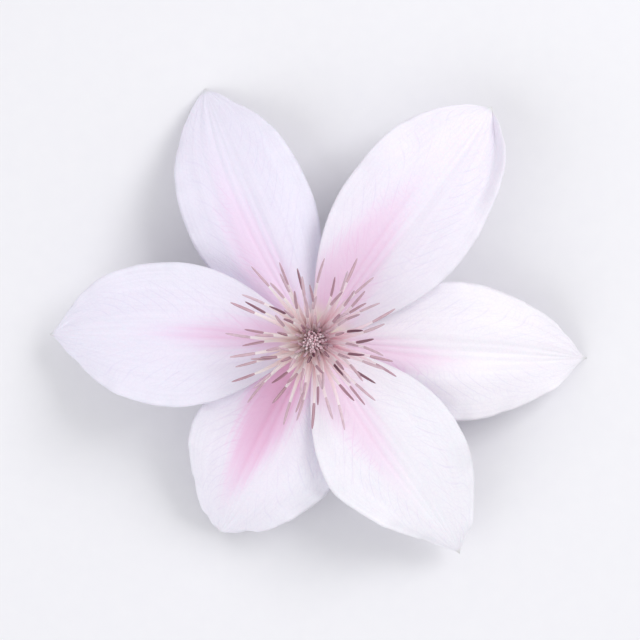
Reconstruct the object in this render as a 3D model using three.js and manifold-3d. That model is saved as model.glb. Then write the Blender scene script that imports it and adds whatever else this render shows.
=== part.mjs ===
// A clematis flower, picked with a short stalk and laid face up on a flat surface.
//
// Six broad pointed tepals spread from a small receptacle in two whorls of three: the outer three are
// set lower and arch down until their tips touch the surface, the inner three lie over their margins.
// A brush of stamens stands on the receptacle round a tuft of styles, and the stalk bends under the
// flower and lies along the surface. +Z is up, +Y is the top of the flower as it faces the viewer.
// Lengths are in millimetres and angles in degrees.

import * as THREE from "three";
import { mergeVertices } from "three/addons/utils/BufferGeometryUtils.js";
import Module from "manifold-3d";

const wasm = await Module();
wasm.setup();

const { degToRad, lerp, clamp, smoothstep } = THREE.MathUtils;

// Heights are counted from the middle of the outer tepals' claws, where they meet the receptacle.
const CLAW_HEIGHT = 14; // above the surface that the flower lies on
const SEAT_GAP = 0.3; // between a piece and what carries it

// Tepals.
const TEPAL_THICKNESS = 0.7;
const WHORL_STEP = 1.3; // from the outer whorl's claws up to the inner whorl's
const CLAW_HALF_WIDTH = 1.7;
const TIP_HALF_WIDTH = 0.3;
const WIDEST_AT = 0.46; // share of the midrib at which a tepal is widest
const SHOULDER = 0.85; // how slowly a tepal widens from its claw
const MARGIN_TURN = 1.5; // the inner whorl's margins turn up by this much and the outer whorl's down
const CHANNEL_DEPTH = 0.5; // the blade is channelled along its midrib
const CHANNEL_WIDTH = 0.2; // as a share of the half width
const RIB_DEPTH = 0.15; // the three main veins in it are grooves on the face and ridges on the back
const RIB_SPACING = 0.13;
const RIB_WIDTH = 0.05;
const WAVES = 2.6; // ruffles along one margin
const TEPAL_ROWS = 18;
const TEPAL_COLUMNS = [0, 0.065, 0.13, 0.2, 0.42, 0.68, 0.87, 1]; // each side of the midrib

// One entry for each tepal, counter-clockwise from the one on the right.
// bearing: the tip's direction from the flower's axis. reach: the tip's distance from it.
// left, right: on each side, seen from the claw, the widest half width and how full it stays further on.
// sway: how far the midrib bows to the left on its way. knee: share of the reach where it turns down.
// crown: how far the blade rises above its claw. tip: the tip's height above the surface.
// ruffle: the height of the waves in the margins. point: how much the last tenth is drawn in to a point.
// roll: how far the right margin rolls up behind the tip.
const TEPALS = [
  {
    bearing: -3.7, reach: 57.3, left: [14.0, 1.9], right: [14.4, 1.9], sway: 0, knee: 0.72,
    crown: 3.0, tip: 0.23, ruffle: 0.7, point: 0.45, roll: 0, inner: false,
  },
  {
    bearing: 52.7, reach: 60.5, left: [13.9, 2.9], right: [14.3, 3.0], sway: 0.6, knee: 0.72,
    crown: 3.4, tip: 9, ruffle: 1.0, point: 0.1, roll: 2.2, inner: true,
  },
  {
    bearing: 113.3, reach: 57.4, left: [13.3, 2.4], right: [13.2, 2.6], sway: 2.0, knee: 0.72,
    crown: 2.8, tip: 0.23, ruffle: 0.6, point: 0.05, roll: 0, inner: false,
  },
  {
    bearing: 178.6, reach: 54.6, left: [14.3, 1.9], right: [15.0, 2.3], sway: -0.4, knee: 0.72,
    crown: 3.2, tip: 6, ruffle: 0.8, point: 0.4, roll: 0, inner: true,
  },
  {
    bearing: 244.1, reach: 44.6, left: [16.2, 1.5], right: [15.3, 1.6], sway: 0.3, knee: 0.86,
    crown: 3.4, tip: 0.13, ruffle: 0.7, point: 0, roll: 0, inner: false,
  },
  {
    bearing: 304.5, reach: 53.5, left: [14.2, 2.1], right: [14.6, 1.25], sway: 0.6, knee: 0.72,
    crown: 2.6, tip: 5, ruffle: 0.9, point: 0.3, roll: 0, inner: true,
  },
];

// Receptacle and stalk.
const RECEPTACLE_RADIUS = 2.7;
const RECEPTACLE_TOP = 1.9;
const RECEPTACLE_BOTTOM = -1.6;
const STALK_RADIUS = 1.1;
const STALK_BEARING = 303; // under the lower right tepal
const STALK_BEND = 10.5; // radius of the bend that brings the stalk down on to the surface
const STALK_RUN = 34; // the part that lies on the surface
const STALK_BOW = 4; // how far that part curves to its left
const STALK_SIDES = 12;
const STALK_STEPS = 26;

// Stamens.
const STAMEN_COUNT = 104;
const TORUS_RADIUS = 2.5; // the knob that the stamens and styles stand on
const TORUS_HEIGHT = 1.5;
const INNER_STAMENS = 20; // these stay upright round the styles
const FILAMENT_LENGTH = [8, 13.4]; // inner, outer
const ANTHER_LENGTH = [4.4, 5.2];
const INNER_LEAN = [6.5, 15]; // first, last
const OUTER_LEAN = [19, 72];
const STAMEN_SWAY = 1.8; // how far a spreading stamen strays to either side on its way, at most
const STAMEN_HOOK = 1.8; // and its end
const STAMEN_CURL = [-0.6, 2]; // how far its end rises out of its bow
const INNER_SWAY = 0.3; // an inner stamen strays by this share of that
const LEAN_AT_FOOT = 0.7; // share of its lean with which a stamen leaves the knob
const LEAN_AT_END = 1.22; // and with which it ends
const FILAMENT_SECTION = [0.42, 0.34]; // half width and half thickness
const ANTHER_SECTION = [0.58, 0.46];
const STAMEN_TIP = 0.2;
const GOLDEN_ANGLE = 137.508;

// Styles.
const STYLE_COUNT = 19;
const STYLE_LENGTH = 9.5;
const STYLE_DOME_RADIUS = 1.15;
const STYLE_RADIUS = 0.32;
const STYLE_TIP = 0.2;
const TUFT_RADIUS = 1.75; // of the tuft at its top

// A repeatable random number from 0 to 1 for item i and use k.
function jitter(i, k) {
  const x = Math.sin(i * 12.9898 + k * 78.233) * 43758.5453;
  return x - Math.floor(x);
}

// A point at a distance and a bearing from the flower's axis.
function polar(radius, bearing, z) {
  const a = degToRad(bearing);
  return new THREE.Vector3(radius * Math.cos(a), radius * Math.sin(a), z);
}

// A repeatable random number from -1 to 1.
function stray(i, k) {
  return 2 * jitter(i, k) - 1;
}

// Half the width of a tepal at share s of its midrib, on the side with these measures.
function tepalHalfWidth(s, [widest, full], point) {
  const opening = Math.sin((Math.PI / 2) * Math.min(s / WIDEST_AT, 1)) ** SHOULDER;
  const closing = clamp((s - WIDEST_AT) / (1 - WIDEST_AT), 0, 1);
  const blade = lerp(CLAW_HALF_WIDTH, widest, opening) * (1 - closing ** full);
  return Math.max(blade * (1 - point * smoothstep(s, 0.9, 1)), TIP_HALF_WIDTH);
}

// How far the channel and the three main veins in it sink the face at share t of the half width.
function channelDepth(s, t) {
  const veins = [-1, 0, 1].map((k) => Math.exp(-(((t - k * RIB_SPACING) / RIB_WIDTH) ** 2)));
  const channel = CHANNEL_DEPTH * Math.exp(-((t / CHANNEL_WIDTH) ** 2)) * (1 - smoothstep(s, 0.5, 1));
  const ribs = RIB_DEPTH * Math.max(...veins) * (1 - smoothstep(s, 0.8, 1));
  return (channel + ribs) * smoothstep(s, 0.02, 0.14);
}

// The middle surface of a tepal: s runs from claw to tip, t from -1 at the right margin to 1 at the left.
function tepalSurface(tepal, index) {
  const claw = tepal.inner ? WHORL_STEP : 0;
  const tip = tepal.tip - CLAW_HEIGHT;
  const start = RECEPTACLE_RADIUS + SEAT_GAP;
  const midrib = new THREE.CubicBezierCurve3(
    new THREE.Vector3(start, 0, claw),
    new THREE.Vector3(lerp(start, tepal.reach, 0.36), tepal.sway, claw + tepal.crown),
    new THREE.Vector3(lerp(start, tepal.reach, tepal.knee), tepal.sway, claw + tepal.crown),
    new THREE.Vector3(tepal.reach, 0, tip),
  );
  const turn = new THREE.Matrix4().makeRotationZ(degToRad(tepal.bearing));
  const marginTurn = tepal.inner ? MARGIN_TURN : -MARGIN_TURN;
  return (s, t) => {
    const rib = midrib.getPoint(s);
    const along = midrib.getTangent(s);
    const left = new THREE.Vector3(-along.y, along.x, 0).normalize();
    const face = new THREE.Vector3().crossVectors(along, left);
    const half = tepalHalfWidth(s, t > 0 ? tepal.left : tepal.right, tepal.point);
    const spread = smoothstep(s, 0.02, 0.3) * (1 - smoothstep(s, 0.55, 1));
    const ruffled = smoothstep(s, 0.4, 0.62) * (1 - smoothstep(s, 0.86, 1));
    const wave = Math.sin(2 * Math.PI * (WAVES * s + jitter(index, t > 0 ? 1 : 2)));
    const turned = marginTurn * spread * t ** 2;
    const ruffle = tepal.ruffle * ruffled * wave * Math.abs(t) ** 3;
    const curling = smoothstep(s, 0.5, 0.72) * (1 - smoothstep(s, 0.92, 1)) * smoothstep(-t, 0.7, 1);
    const rolled = tepal.roll * curling;
    const aside = t * half + 0.4 * rolled;
    const lift = turned + ruffle + rolled - channelDepth(s, t);
    return rib.addScaledVector(left, aside).addScaledVector(face, lift).applyMatrix4(turn);
  };
}

// A closed blade of even thickness on a middle surface, split into the same triangles on both faces.
function bladeGeometry(surface, thickness, rows, columns) {
  const ts = [...columns.slice(1).reverse().map((t) => -t), ...columns];
  const across = ts.length;
  const points = [];
  const step = 1e-3;
  for (const sign of [1, -1]) {
    for (let row = 0; row < rows; row++) {
      const s = row / (rows - 1);
      for (const t of ts) {
        const along = surface(Math.min(s + step, 1), t).sub(surface(Math.max(s - step, 0), t));
        const sideways = surface(s, Math.min(t + step, 1)).sub(surface(s, Math.max(t - step, -1)));
        const normal = along.cross(sideways).normalize();
        points.push(surface(s, t).addScaledVector(normal, (sign * thickness) / 2));
      }
    }
  }
  const back = rows * across;
  const index = [];
  for (let row = 0; row < rows - 1; row++) {
    for (let column = 0; column < across - 1; column++) {
      const a = row * across + column;
      const [b, c, d] = [a + 1, a + across + 1, a + across];
      index.push(a, d, b, b, d, c);
      index.push(a + back, b + back, d + back, b + back, c + back, d + back);
    }
  }
  const rim = [];
  for (let column = 0; column < across - 1; column++) rim.push(column);
  for (let row = 0; row < rows - 1; row++) rim.push(row * across + across - 1);
  for (let column = across - 1; column > 0; column--) rim.push((rows - 1) * across + column);
  for (let row = rows - 1; row > 0; row--) rim.push(row * across);
  rim.forEach((a, i) => {
    const b = rim[(i + 1) % rim.length];
    index.push(a, b, b + back, a, b + back, a + back);
  });
  return new THREE.BufferGeometry().setFromPoints(points).setIndex(index);
}

// A closed tube of changing width along a curve. section(share) gives its half width and half thickness.
function taperedGeometry(curve, section, sides, shares) {
  const frames = curve.computeFrenetFrames(shares.length - 1, false);
  const points = [];
  shares.forEach((share, i) => {
    const centre = curve.getPointAt(share);
    const along = curve.getTangentAt(share);
    const across = frames.binormals[i].clone();
    across.addScaledVector(along, -along.dot(across)).normalize();
    const up = new THREE.Vector3().crossVectors(across, along);
    const [halfWidth, halfThickness] = section(share);
    for (let k = 0; k < sides; k++) {
      const a = (2 * Math.PI * k) / sides;
      const point = centre.clone().addScaledVector(across, halfWidth * Math.cos(a));
      points.push(point.addScaledVector(up, halfThickness * Math.sin(a)));
    }
  });
  const index = [];
  for (let ring = 0; ring < shares.length - 1; ring++) {
    for (let k = 0; k < sides; k++) {
      const a = ring * sides + k;
      const b = ring * sides + ((k + 1) % sides);
      index.push(a, a + sides, b, b, a + sides, b + sides);
    }
  }
  const last = (shares.length - 1) * sides;
  for (let k = 1; k < sides - 1; k++) {
    index.push(0, k, k + 1, last, last + k + 1, last + k);
  }
  return new THREE.BufferGeometry().setFromPoints(points).setIndex(index);
}

// A closed geometry as a solid that can be joined to others.
function solid(geometry) {
  const bare = geometry.clone();
  bare.deleteAttribute("normal");
  bare.deleteAttribute("uv");
  const merged = mergeVertices(bare, 1e-4);
  const made = new wasm.Manifold(
    new wasm.Mesh({
      numProp: 3,
      vertProperties: merged.attributes.position.array,
      triVerts: new Uint32Array(merged.index.array),
    }),
  );
  if (made.volume() <= 0) throw new Error("a solid is inside out");
  return made;
}

// Several solids joined into one closed geometry.
function joined(solids) {
  const mesh = solids.reduce((sum, part) => sum.add(part)).getMesh();
  return new THREE.BufferGeometry()
    .setAttribute("position", new THREE.BufferAttribute(new Float32Array(mesh.vertProperties), 3))
    .setIndex(new THREE.BufferAttribute(new Uint32Array(mesh.triVerts), 1));
}

// A dome or knob turned about the flower's axis, from a profile of [radius, height] points.
function turned(profile, sides) {
  const geometry = new THREE.LatheGeometry(
    profile.map(([radius, height]) => new THREE.Vector2(radius, height)),
    sides,
  );
  return geometry.rotateX(Math.PI / 2);
}

// The receptacle with the stalk that grows out of its back, bends down and lies along the surface.
function peduncleGeometry() {
  const out = polar(1, STALK_BEARING, 0);
  const ground = STALK_RADIUS - CLAW_HEIGHT;
  const path = new THREE.CurvePath();
  const top = new THREE.Vector3(0, 0, RECEPTACLE_BOTTOM + 1);
  const bendStart = new THREE.Vector3(0, 0, ground + STALK_BEND);
  const bendEnd = out.clone().multiplyScalar(STALK_BEND).setZ(ground);
  const corner = new THREE.Vector3(0, 0, ground);
  const left = polar(1, STALK_BEARING + 90, 0);
  const halfway = bendEnd.clone().addScaledVector(out, STALK_RUN / 2);
  const cutEnd = bendEnd.clone().addScaledVector(out, STALK_RUN).addScaledVector(left, STALK_BOW);
  path.add(new THREE.LineCurve3(top, bendStart));
  path.add(new THREE.QuadraticBezierCurve3(bendStart, corner, bendEnd));
  path.add(new THREE.QuadraticBezierCurve3(bendEnd, halfway, cutEnd));
  const section = new THREE.Shape().absarc(0, 0, STALK_RADIUS, 0, 2 * Math.PI);
  const stalk = new THREE.ExtrudeGeometry(section, {
    steps: STALK_STEPS,
    curveSegments: STALK_SIDES / 2, // for each half turn of the section
    extrudePath: path,
  });
  const receptacle = turned(
    [
      [0, RECEPTACLE_BOTTOM],
      [STALK_RADIUS * 1.15, RECEPTACLE_BOTTOM],
      [RECEPTACLE_RADIUS * 0.9, RECEPTACLE_BOTTOM + 0.9],
      [RECEPTACLE_RADIUS, 0],
      [RECEPTACLE_RADIUS, RECEPTACLE_TOP - 0.3],
      [RECEPTACLE_RADIUS * 0.85, RECEPTACLE_TOP],
      [0, RECEPTACLE_TOP],
    ],
    18,
  );
  return joined([solid(stalk), solid(receptacle)]);
}

// One stamen: a flat filament that bows outwards and carries a long anther.
function stamenSolid(i) {
  const upright = i < INNER_STAMENS;
  const rank = upright ? i / INNER_STAMENS : (i - INNER_STAMENS) / (STAMEN_COUNT - INNER_STAMENS - 1);
  const bearing = i * GOLDEN_ANGLE + 7 * stray(i, 3);
  const lean = lerp(...(upright ? INNER_LEAN : OUTER_LEAN), rank) + (upright ? 1.5 : 4) * stray(i, 4);
  const filament = lerp(...FILAMENT_LENGTH, upright ? 0 : 0.3 + 0.7 * rank) + 0.8 * stray(i, 5);
  const anther = lerp(...ANTHER_LENGTH, rank) + 0.4 * stray(i, 6);
  const length = filament + anther;
  const rootRadius = upright ? 1.55 : lerp(1.75, 2.1, rank);
  const root = polar(rootRadius, bearing, RECEPTACLE_TOP + SEAT_GAP + 0.6);
  const lean1 = degToRad(lean * LEAN_AT_FOOT);
  const lean2 = degToRad(lean * LEAN_AT_END);
  const half = 0.5 * length;
  const knee = root.clone().add(polar(half * Math.sin(lean1), bearing, half * Math.cos(lean1)));
  const end = knee.clone().add(polar(half * Math.sin(lean2), bearing, half * Math.cos(lean2)));
  const aside = polar(upright ? INNER_SWAY : 1, bearing + 90, 0);
  knee.addScaledVector(aside, STAMEN_SWAY * stray(i, 11));
  end.addScaledVector(aside, STAMEN_HOOK * stray(i, 16));
  end.z += upright ? 0 : lerp(...STAMEN_CURL, jitter(i, 17));
  const curve = new THREE.QuadraticBezierCurve3(root, knee, end);
  const joint = filament / length;
  const section = (share) => {
    if (share <= joint) return FILAMENT_SECTION;
    return share < 1 ? ANTHER_SECTION : [STAMEN_TIP, STAMEN_TIP];
  };
  const shares = [0, joint * 0.5, joint, lerp(joint, 1, 0.2), lerp(joint, 1, 0.75), 1];
  return solid(taperedGeometry(curve, section, 4, shares));
}

// The knob on the receptacle with all the stamens that stand on it.
function stamensGeometry() {
  const base = RECEPTACLE_TOP + SEAT_GAP;
  const knob = turned(
    [
      [0, base],
      [TORUS_RADIUS * 0.8, base],
      [TORUS_RADIUS, base + 0.4],
      [TORUS_RADIUS, base + 0.9],
      [TORUS_RADIUS * 0.75, base + TORUS_HEIGHT],
      [0, base + TORUS_HEIGHT],
    ],
    16,
  );
  const stamens = Array.from({ length: STAMEN_COUNT }, (_, i) => stamenSolid(i));
  return joined([solid(knob), ...stamens]);
}

// The tuft of styles in the middle, each on the dome of small seed cases at its foot.
function stylesGeometry() {
  const base = RECEPTACLE_TOP + TORUS_HEIGHT + 2 * SEAT_GAP;
  const dome = turned(
    [
      [0, base],
      [STYLE_DOME_RADIUS, base],
      [STYLE_DOME_RADIUS, base + 0.6],
      [STYLE_DOME_RADIUS * 0.6, base + 1.2],
      [0, base + 1.4],
    ],
    12,
  );
  const styles = Array.from({ length: STYLE_COUNT }, (_, i) => {
    const rank = Math.sqrt((i + 0.5) / STYLE_COUNT);
    const bearing = i * GOLDEN_ANGLE;
    const length = STYLE_LENGTH - 1.6 * rank + 0.7 * stray(i, 7);
    const root = polar(STYLE_DOME_RADIUS * 0.7 * rank, bearing, base + 0.4);
    const middle = polar(STYLE_DOME_RADIUS * 0.8 * rank, bearing, base + 0.6 * length);
    const end = polar(TUFT_RADIUS * rank, bearing, base + length);
    const curve = new THREE.QuadraticBezierCurve3(root, middle, end);
    const section = (share) => (share < 1 ? [STYLE_RADIUS, STYLE_RADIUS] : [STYLE_TIP, STYLE_TIP]);
    return solid(taperedGeometry(curve, section, 4, [0, 0.5, 0.85, 1]));
  });
  return joined([solid(dome), ...styles]);
}

function mesh(name, geometry, colour, roughness) {
  const shape = geometry.index ? geometry.toNonIndexed() : geometry;
  shape.computeVertexNormals();
  const material = new THREE.MeshStandardMaterial({ color: colour, roughness, metalness: 0 });
  const made = new THREE.Mesh(shape, material);
  made.name = name;
  return made;
}

const flower = new THREE.Group();
flower.name = "clematis_flower";
flower.add(mesh("peduncle", peduncleGeometry(), 0x7d8f52, 0.7));
TEPALS.forEach((tepal, i) => {
  const geometry = bladeGeometry(tepalSurface(tepal, i), TEPAL_THICKNESS, TEPAL_ROWS, TEPAL_COLUMNS);
  flower.add(mesh(`tepal_${i + 1}`, geometry, 0xf0ebfb, 0.55));
});
flower.add(mesh("stamens", stamensGeometry(), 0xcfa9b4, 0.6));
flower.add(mesh("styles", stylesGeometry(), 0xc99aa4, 0.6));

// The origin is on the surface, under the middle of the flower's outline.
const extent = new THREE.Box3().setFromObject(flower);
const middle = extent.getCenter(new THREE.Vector3());
flower.position.set(-middle.x, -middle.y, -extent.min.z);

export default flower;
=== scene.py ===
"""Looks for a clematis flower that was picked with a short stalk and lies face up on a pale surface.

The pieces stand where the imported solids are. Lengths in the classes are in millimetres and angles in
degrees, and MM turns them into metres where a mesh is made. Heights are counted from the middle of the outer
tepals' claws, and the flower's axis is read from the frame.
"""

import logging
import math
from collections.abc import Callable, Sequence
from dataclasses import dataclass, field
from enum import Enum, IntEnum

import bmesh
import bpy
from mathutils import Matrix, Vector, noise


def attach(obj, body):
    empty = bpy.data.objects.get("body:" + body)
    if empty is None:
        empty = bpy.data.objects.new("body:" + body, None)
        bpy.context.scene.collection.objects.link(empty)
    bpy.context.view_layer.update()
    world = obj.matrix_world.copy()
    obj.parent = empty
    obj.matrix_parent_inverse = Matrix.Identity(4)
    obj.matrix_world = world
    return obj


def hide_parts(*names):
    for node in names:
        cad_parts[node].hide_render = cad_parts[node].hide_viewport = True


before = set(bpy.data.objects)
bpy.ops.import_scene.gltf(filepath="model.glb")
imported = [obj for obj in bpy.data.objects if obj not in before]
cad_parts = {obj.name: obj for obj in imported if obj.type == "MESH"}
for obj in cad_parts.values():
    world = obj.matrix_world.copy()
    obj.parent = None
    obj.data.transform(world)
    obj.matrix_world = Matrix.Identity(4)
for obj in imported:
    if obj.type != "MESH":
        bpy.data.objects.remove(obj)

LOG = logging.getLogger("clematis")
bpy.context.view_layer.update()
MM = 0.001
ROOT = "root"
BLADE_MAP = "blade"
GOLDEN_ANGLE = 137.508
RIB_SPACING = 0.13  # between a tepal's three main veins, as a share of its half width
MIX_INPUTS = (0, 6, 7)  # where a Mix node for colours has its share and its two colours
MIX_OUTPUT = 2

Socket = bpy.types.NodeSocket
Colour = tuple[float, float, float, float]
Value = float | Colour | Vector | Socket
Ring = list[Vector]


class Whorl(Enum):
    """The ring of tepals that a tepal belongs to: how far its claw is raised and how its margins turn."""

    OUTER = (0.0, -1.5)
    INNER = (1.3, 1.5)

    @property
    def rise(self) -> float:
        """How far this whorl's claws stand above the outer ones."""
        return self.value[0]

    @property
    def margin_turn(self) -> float:
        """How far the margins turn up, or down if it is negative."""
        return self.value[1]


class Slot(Enum):
    """The record's material slots."""

    TEPAL = "tepal"
    STAMEN = "stamen"
    STYLE = "style"
    GREEN = "green"


class TepalDraw(IntEnum):
    """What a tepal's random draws decide."""

    LEFT_WAVE = 1
    RIGHT_WAVE = 2
    LEFT_CRINKLE = 5
    RIGHT_CRINKLE = 6


class StamenDraw(IntEnum):
    """What a stamen's random draws decide."""

    BEARING = 3
    LEAN = 4
    FILAMENT_LENGTH = 5
    ANTHER_LENGTH = 6
    SWAY = 11
    TWIST = 12
    ANTHER_TONE = 13
    FILAMENT_TONE = 14
    OPENING = 15
    HOOK = 16
    END_RISE = 17


class StyleDraw(IntEnum):
    """What a style's random draws decide."""

    LENGTH = 7
    TURN = 8
    TONE = 9


class HairDraw(IntEnum):
    """What the random draws of a hair on the stalk decide."""

    PLACE = 31
    SIDE = 32
    LENGTH = 33
    LEAN = 34


def lerp(first: float, last: float, share: float) -> float:
    """Returns the value at a share of the way from first to last."""
    return first + (last - first) * share


def clamp(value: float) -> float:
    """Returns the value held between 0 and 1."""
    return min(max(value, 0.0), 1.0)


def smooth(value: float, low: float, high: float) -> float:
    """Returns a soft step from 0 at low to 1 at high."""
    share = clamp((value - low) / (high - low))
    return share * share * (3.0 - 2.0 * share)


def jitter(item: int, use: int) -> float:
    """Returns a repeatable random number from 0 to 1 for an item and a use."""
    whirled = math.sin(item * 12.9898 + use * 78.233) * 43758.5453
    return whirled - math.floor(whirled)


def stray(item: int, use: int) -> float:
    """Returns a repeatable random number from -1 to 1 for an item and a use."""
    return 2.0 * jitter(item, use) - 1.0


def polar(radius: float, bearing: float, height: float) -> Vector:
    """Returns the point at a distance and a bearing from the flower's axis."""
    angle = math.radians(bearing)
    return Vector((radius * math.cos(angle), radius * math.sin(angle), height))


def srgb(red: int, green: int, blue: int) -> Colour:
    """Turns a screen colour into the linear one that the shaders take.

    Args:
        red, green, blue: The screen colour's channels, from 0 to 255.

    Returns:
        The linear colour with an alpha of 1.
    """
    channels = [c / 255 for c in (red, green, blue)]
    linear = [c / 12.92 if c <= 0.04045 else ((c + 0.055) / 1.055) ** 2.4 for c in channels]
    return (linear[0], linear[1], linear[2], 1.0)


def bezier(points: Sequence[Vector], share: float) -> tuple[Vector, Vector]:
    """Follows a Bezier curve of any degree.

    Args:
        points: Its control points.
        share: How far along it to go, from 0 to 1.

    Returns:
        The point there and the direction that the curve runs in.
    """
    left = list(points)
    while len(left) > 2:
        left = [a.lerp(b, share) for a, b in zip(left, left[1:])]
    return left[0].lerp(left[1], share), (left[1] - left[0]).normalized()


class Graph:
    """Adds nodes to one node tree and links them as it goes."""

    def __init__(self, tree: bpy.types.NodeTree) -> None:
        """Keeps the tree.

        Args:
            tree: The node tree of a material or of a node group.
        """
        self.tree = tree

    def node(self, kind: str, **settings: object) -> bpy.types.Node:
        """Adds a node.

        Args:
            kind: The node's type without the leading ShaderNode.
            **settings: Its settings.

        Returns:
            The node.
        """
        made = self.tree.nodes.new("ShaderNode" + kind)
        for name, value in settings.items():
            setattr(made, name, value)
        return made

    def feed(self, socket: Socket, value: Value) -> None:
        """Links a socket into another one, or gives it a constant.

        Args:
            socket: The input to feed.
            value: The output that feeds it, or its constant.
        """
        if isinstance(value, bpy.types.NodeSocket):
            self.tree.links.new(value, socket)
        else:
            socket.default_value = value

    def math(self, operation: str, *values: Value) -> Socket:
        """Adds a Math node.

        Args:
            operation: What it works out.
            *values: Its one to three values.

        Returns:
            The result.
        """
        made = self.node("Math", operation=operation)
        for socket, value in zip(made.inputs, values):
            self.feed(socket, value)
        return made.outputs[0]

    def product(self, first: Value, *others: Value) -> Socket:
        """Multiplies values.

        Args:
            first: The first value.
            *others: What it is multiplied by.

        Returns:
            The product.
        """
        for other in others:
            first = self.math("MULTIPLY", first, other)
        return first

    def total(self, first: Value, *others: Value) -> Socket:
        """Adds up values.

        Args:
            first: The first value.
            *others: What is added to it.

        Returns:
            The sum.
        """
        for other in others:
            first = self.math("ADD", first, other)
        return first

    def step(self, value: Value, low: Value, high: Value) -> Socket:
        """Turns a value into a soft step, also a falling one, where high is less than low.

        Args:
            value: The value.
            low: Where the step starts, at 0.
            high: Where it ends, at 1.

        Returns:
            The step, from 0 to 1.
        """
        made = self.node("MapRange", interpolation_type="SMOOTHSTEP", clamp=True)
        for socket, given in zip(made.inputs, (value, low, high, 0.0, 1.0)):
            self.feed(socket, given)
        return made.outputs[0]

    def mix(self, share: Value, first: Value, second: Value) -> Socket:
        """Mixes two colours.

        Args:
            share: How much of the second there is, held between 0 and 1.
            first: The first colour.
            second: The second colour.

        Returns:
            The mix.
        """
        made = self.node("Mix", data_type="RGBA", clamp_factor=True)
        for index, value in zip(MIX_INPUTS, (share, first, second)):
            self.feed(made.inputs[index], value)
        return made.outputs[MIX_OUTPUT]

    def noise(self, place: Value, scale: Value, detail: float = 2.0) -> Socket:
        """Adds a noise.

        Args:
            place: Where it is read.
            scale: How fine it is.
            detail: How much finer noise is laid over it.

        Returns:
            Its value, from 0 to 1.
        """
        made = self.node("TexNoise", noise_dimensions="3D")
        self.feed(made.inputs["Vector"], place)
        self.feed(made.inputs["Scale"], scale)
        made.inputs["Detail"].default_value = detail
        return made.outputs[0]

    def cells(self, place: Value, scale: float) -> Socket:
        """Adds a net of cells.

        Args:
            place: Where it is read.
            scale: How fine it is.

        Returns:
            The distance to the nearest edge of a cell.
        """
        made = self.node("TexVoronoi", feature="DISTANCE_TO_EDGE")
        self.feed(made.inputs["Vector"], place)
        made.inputs["Scale"].default_value = scale
        return made.outputs["Distance"]

    def stretched(self, map_place: Value, across: float, along: float) -> Socket:
        """Scales a blade's map, so that a noise on it is stretched.

        Args:
            map_place: The place on the map.
            across: How much to scale it across the blade.
            along: How much to scale it along the blade.

        Returns:
            The scaled place.
        """
        made = self.node("VectorMath", operation="MULTIPLY")
        self.feed(made.inputs[0], map_place)
        made.inputs[1].default_value = (across, along, 1.0)
        return made.outputs[0]

    def split(self, vector: Value) -> tuple[Socket, Socket, Socket]:
        """Takes a vector apart.

        Args:
            vector: The vector.

        Returns:
            Its three values.
        """
        made = self.node("SeparateXYZ")
        self.feed(made.inputs[0], vector)
        return made.outputs[0], made.outputs[1], made.outputs[2]

    def attribute(self, name: str) -> Socket:
        """Returns a number that the mesh carries at each point."""
        return self.node("Attribute", attribute_name=name).outputs["Fac"]

    def place(self) -> Socket:
        """Returns the place on the piece, in metres."""
        return self.node("TexCoord").outputs["Object"]

    def group(self, tree: bpy.types.NodeTree, **values: Value) -> bpy.types.Node:
        """Places a node group.

        Args:
            tree: The group.
            **values: What goes into its inputs.

        Returns:
            The group's node.
        """
        made = self.node("Group", node_tree=tree)
        for name, value in values.items():
            self.feed(made.inputs[name], value)
        return made


def new_group(name: str, inputs: Sequence[tuple[str, str]]) -> tuple[Graph, bpy.types.Node]:
    """Starts a shader node group.

    Args:
        name: The group's name.
        inputs: The name and the socket type of each input.

    Returns:
        The group's graph and its input node.
    """
    tree = bpy.data.node_groups.new(name, "ShaderNodeTree")
    for label, kind in inputs:
        tree.interface.new_socket(label, in_out="INPUT", socket_type="NodeSocket" + kind)
    return Graph(tree), tree.nodes.new("NodeGroupInput")


def end_group(graph: Graph, **values: Socket) -> bpy.types.NodeTree:
    """Gives a node group its outputs.

    Args:
        graph: The group's graph.
        **values: What each output puts out.

    Returns:
        The group.
    """
    for label in values:
        graph.tree.interface.new_socket(label, in_out="OUTPUT", socket_type="NodeSocketFloat")
    end = graph.tree.nodes.new("NodeGroupOutput")
    for label, value in values.items():
        graph.feed(end.inputs[label], value)
    return graph.tree


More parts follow.
